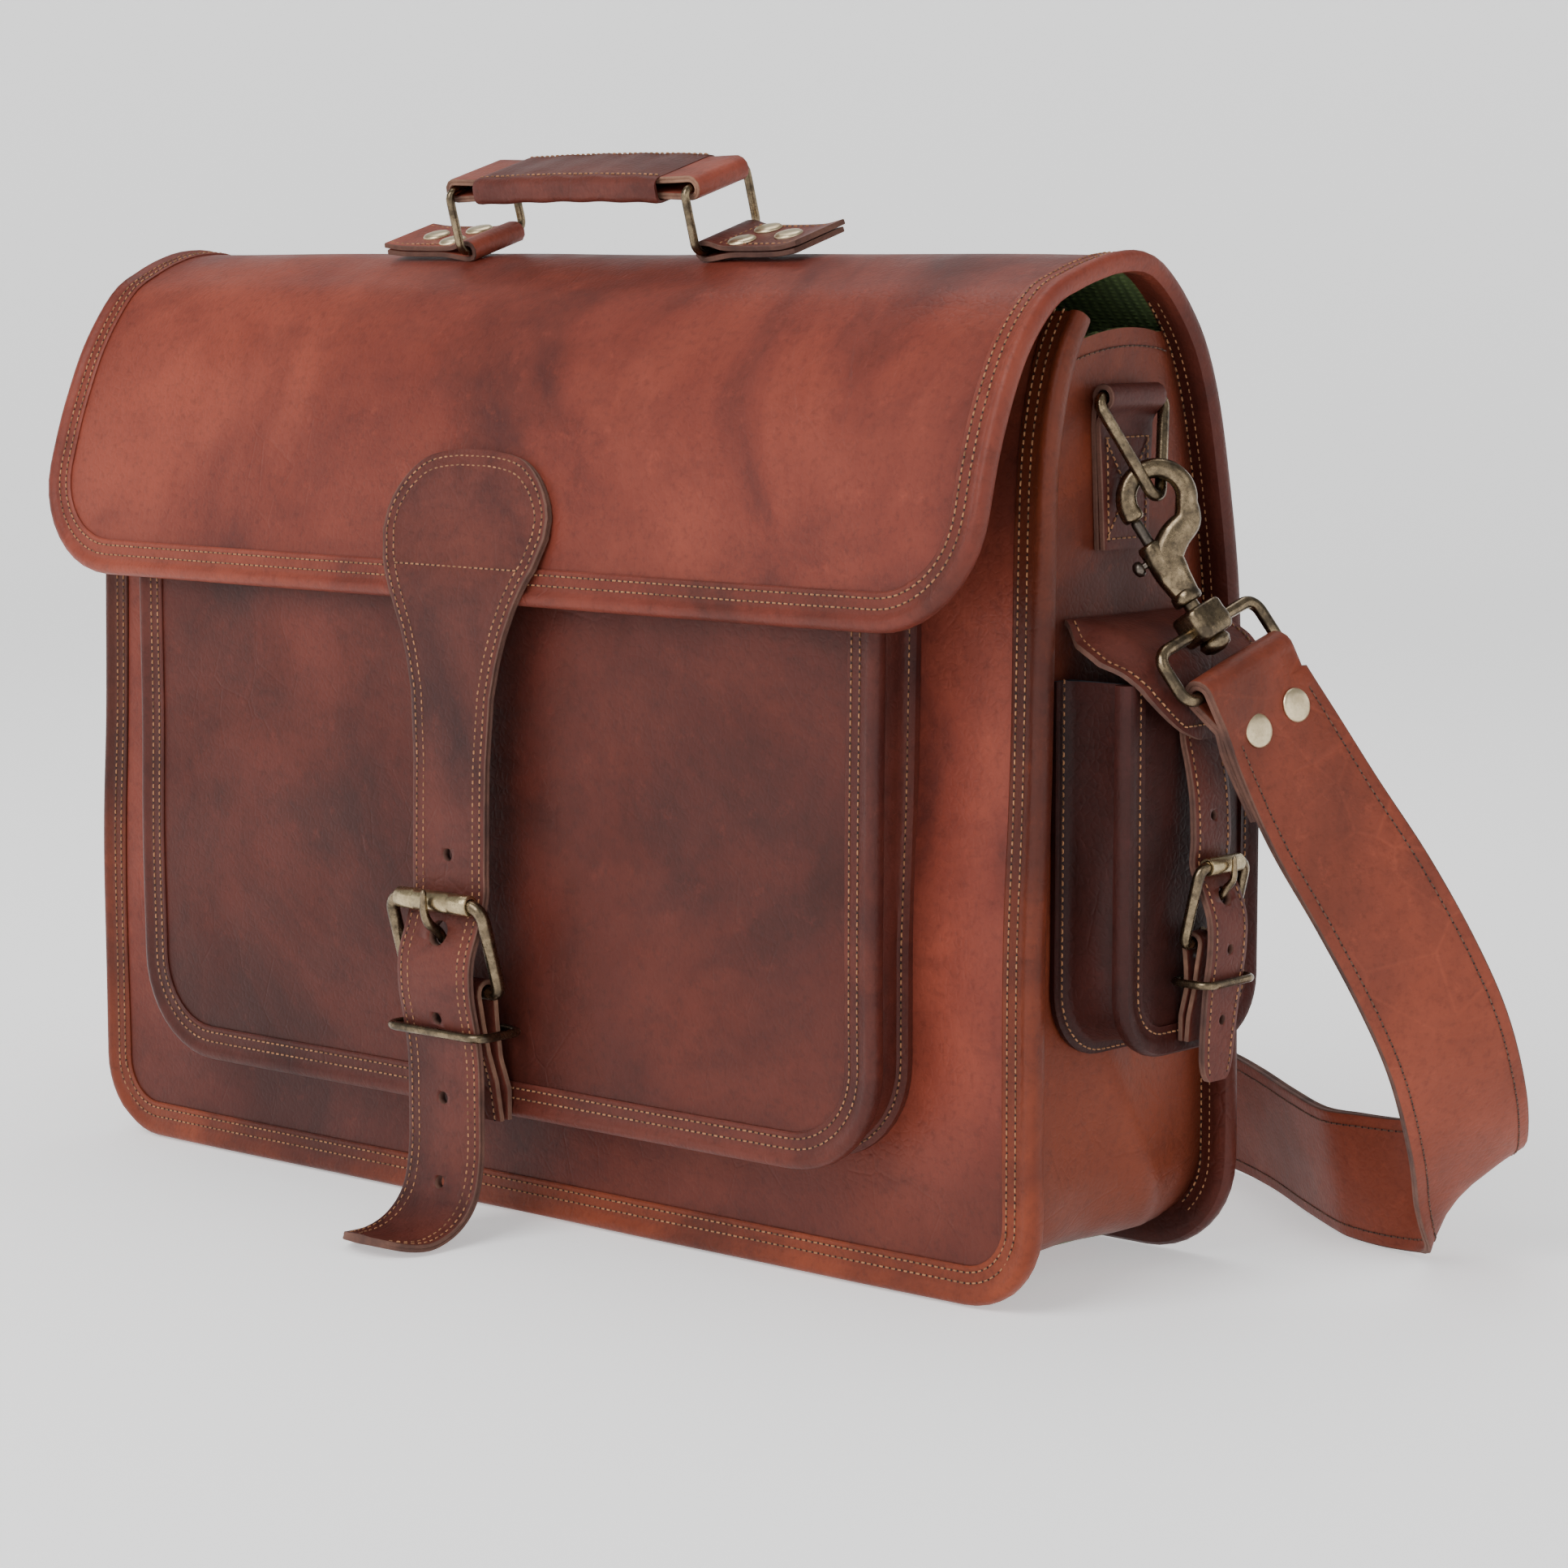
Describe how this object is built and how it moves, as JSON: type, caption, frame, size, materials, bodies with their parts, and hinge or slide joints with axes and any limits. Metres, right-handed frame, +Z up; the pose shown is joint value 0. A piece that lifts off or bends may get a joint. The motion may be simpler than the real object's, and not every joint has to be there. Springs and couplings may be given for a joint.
{
  "type": "satchel bag",
  "caption": "Leather satchel with a front flap, strap-and-buckle closure, front and side pockets, a ring-mounted top handle and a clip-on adjustable shoulder strap.",
  "frame": {"origin": "on the ground at the middle of the base, where the sagging base strip touches", "axes": "+X to the right seen from the front, along the bag's length; -Y is the front, with the flap and buckle; +Z is up"},
  "size_m": [0.5464, 0.2808, 0.318],
  "materials": {
    "leather_body": "pull-up leather, reddish brown, mottled, soft sheen",
    "leather_edge": "rolled binding, orange brown, stitched twice",
    "leather_dark": "dark brown leather with pale raw edges and ochre stitches",
    "leather_strap": "worn brown strap leather, creased, darker needle holes",
    "leather_grip": "red brown folded handle leather with layered edges",
    "canvas": "dark green cotton canvas, matt",
    "brass": "antique brass, worn bright at the edges",
    "roller_brass": "brighter brass, rubbed by the strap",
    "rivet": "pale brass rivet caps, brushed",
    "steel": "grey steel, fine scratches"
  },
  "bodies": {
    "bag": {"front_panel": "leather_body", "back_panel": "leather_body", "front_binding": "leather_edge", "back_binding": "leather_dark", "gusset_right": "leather_body", "gusset_left": "leather_body", "gusset_bottom": "leather_body", "lining": "canvas", "laptop_divider": "canvas", "pocket_front": "leather_body", "pocket_piping": "leather_dark", "pocket_gusset": "leather_body", "buckle_chape": "leather_dark", "side_pocket_front": "leather_dark", "side_pocket_piping": "leather_dark", "side_pocket_gusset": "leather_body", "side_chape": "leather_dark", "ring_tab_right": "leather_dark", "ring_tab_left": "leather_dark", "shoulder_strap_long": "leather_strap", "shoulder_strap_short": "leather_strap", "strap_buckle": "brass"},
    "flap": {"flap": "leather_body", "flap_binding": "leather_dark", "closure_strap": "leather_dark", "anchor_right": "leather_dark", "anchor_left": "leather_dark", "anchor_rivet_right_1": "rivet", "anchor_rivet_right_2": "rivet", "anchor_rivet_right_3": "rivet", "anchor_rivet_left_1": "rivet", "anchor_rivet_left_2": "rivet", "anchor_rivet_left_3": "rivet"},
    "handle_left": {"handle_ring_left": "brass"},
    "grip": {"handle_grip": "leather_grip", "handle_sleeve": "leather_dark"},
    "handle_right": {"handle_ring_right": "brass"},
    "buckle": {"buckle_frame": "brass"},
    "roller": {"buckle_roller": "roller_brass"},
    "tongue": {"buckle_tongue": "brass"},
    "keeper": {"keeper_ring": "brass"},
    "side_flap": {"side_flap": "leather_dark", "side_strap": "leather_dark"},
    "side_buckle": {"side_buckle_frame": "brass"},
    "side_roller": {"side_buckle_roller": "roller_brass"},
    "side_tongue": {"side_buckle_tongue": "brass"},
    "side_keeper": {"side_keeper_ring": "brass"},
    "clip_right": {"side_ring_right": "brass", "hook_loop_right": "brass", "strap_rivet_right_1": "rivet", "strap_rivet_right_2": "rivet"},
    "hook_right": {"hook_right": "brass"},
    "hook_bolt_right": {"hook_bolt_right": "steel"},
    "clip_left": {"side_ring_left": "brass", "hook_loop_left": "brass", "strap_rivet_left_1": "rivet", "strap_rivet_left_2": "rivet"},
    "hook_left": {"hook_left": "brass"},
    "hook_bolt_left": {"hook_bolt_left": "steel"}
  },
  "joints": [
    {"name": "flap_hinge", "type": "hinge", "parent": "bag", "child": "flap", "pos_m": [0, 0.0209, 0.2751], "axis": [-1, 0, 0], "range_deg": [0, 105], "deforming": ["closure_strap"]},
    {"name": "handle_lean_left", "type": "hinge", "parent": "flap", "child": "handle_left", "pos_m": [-0.0487, -0.0095, 0.2912], "axis": [0, 0.9588, 0.284], "range_deg": [-50, 50]},
    {"name": "grip_level", "type": "hinge", "parent": "handle_left", "child": "grip", "pos_m": [-0.0487, -0.0149, 0.30942], "axis": [0, 0.9588, 0.284], "range_deg": [-50, 50]},
    {"name": "handle_lean_right", "type": "hinge", "parent": "flap", "child": "handle_right", "pos_m": [0.0487, -0.0095, 0.2912], "axis": [0, 0.9588, 0.284], "range_deg": [-50, 50]},
    {"name": "buckle_swing", "type": "hinge", "parent": "bag", "child": "buckle", "pos_m": [0, -0.076, 0.073], "axis": [1, 0, 0], "range_deg": [0, 60]},
    {"name": "roller_turn", "type": "hinge", "parent": "buckle", "child": "roller", "pos_m": [0, -0.0836, 0.0996], "axis": [1, 0, 0], "continuous": true},
    {"name": "tongue_swing", "type": "hinge", "parent": "buckle", "child": "tongue", "pos_m": [0, -0.076, 0.073], "axis": [1, 0, 0], "range_deg": [0, 50]},
    {"name": "keeper_tip", "type": "hinge", "parent": "bag", "child": "keeper", "pos_m": [0, -0.0676, 0.061], "axis": [1, 0, 0], "range_deg": [-8, 8]},
    {"name": "side_flap_hinge", "type": "hinge", "parent": "bag", "child": "side_flap", "pos_m": [0.1886, 0, 0.1889], "axis": [0, -1, 0], "range_deg": [0, 3], "deforming": ["side_strap"]},
    {"name": "side_buckle_swing", "type": "hinge", "parent": "bag", "child": "side_buckle", "pos_m": [0.2166, 0, 0.1013], "axis": [0, 1, 0], "range_deg": [0, 45]},
    {"name": "side_roller_turn", "type": "hinge", "parent": "side_buckle", "child": "side_roller", "pos_m": [0.2218, 0, 0.1228], "axis": [0, 1, 0], "continuous": true},
    {"name": "side_tongue_swing", "type": "hinge", "parent": "side_buckle", "child": "side_tongue", "pos_m": [0.2166, 0, 0.1013], "axis": [0, 1, 0], "range_deg": [0, 45]},
    {"name": "side_keeper_tip", "type": "hinge", "parent": "bag", "child": "side_keeper", "pos_m": [0.2126, 0, 0.0908], "axis": [0, 1, 0], "range_deg": [-8, 8]},
    {"name": "clip_swing_right", "type": "hinge", "parent": "bag", "child": "clip_right", "pos_m": [0.1916, -0.004, 0.249], "axis": [0, -1, 0], "range_deg": [0, 25], "deforming": ["shoulder_strap_long"]},
    {"name": "hook_swivel_right", "type": "hinge", "parent": "clip_right", "child": "hook_right", "pos_m": [0.21388, -0.00015, 0.1884], "axis": [0.4962, 0.2471, -0.8323], "range_deg": [-5, 5]},
    {"name": "bolt_slide_right", "type": "slide", "parent": "hook_right", "child": "hook_bolt_right", "axis": [0.4962, 0.2471, -0.8323], "range_m": [0, 0.0055], "stiffness_N_per_m": 200, "springref_m": -0.003},
    {"name": "clip_swing_left", "type": "hinge", "parent": "bag", "child": "clip_left", "pos_m": [-0.1916, -0.004, 0.249], "axis": [0, 1, 0], "range_deg": [0, 25], "deforming": ["shoulder_strap_short"]},
    {"name": "hook_swivel_left", "type": "hinge", "parent": "clip_left", "child": "hook_left", "pos_m": [-0.21388, -0.00015, 0.1884], "axis": [-0.4962, 0.2471, -0.8323], "range_deg": [-5, 5]},
    {"name": "bolt_slide_left", "type": "slide", "parent": "hook_left", "child": "hook_bolt_left", "axis": [-0.4962, 0.2471, -0.8323], "range_m": [0, 0.0055], "stiffness_N_per_m": 200, "springref_m": -0.003}
  ],
  "couplings": [
    {"joint": "grip_level", "follows": "handle_lean_left", "ratio": -1},
    {"joint": "handle_lean_right", "follows": "handle_lean_left", "ratio": 1}
  ]
}
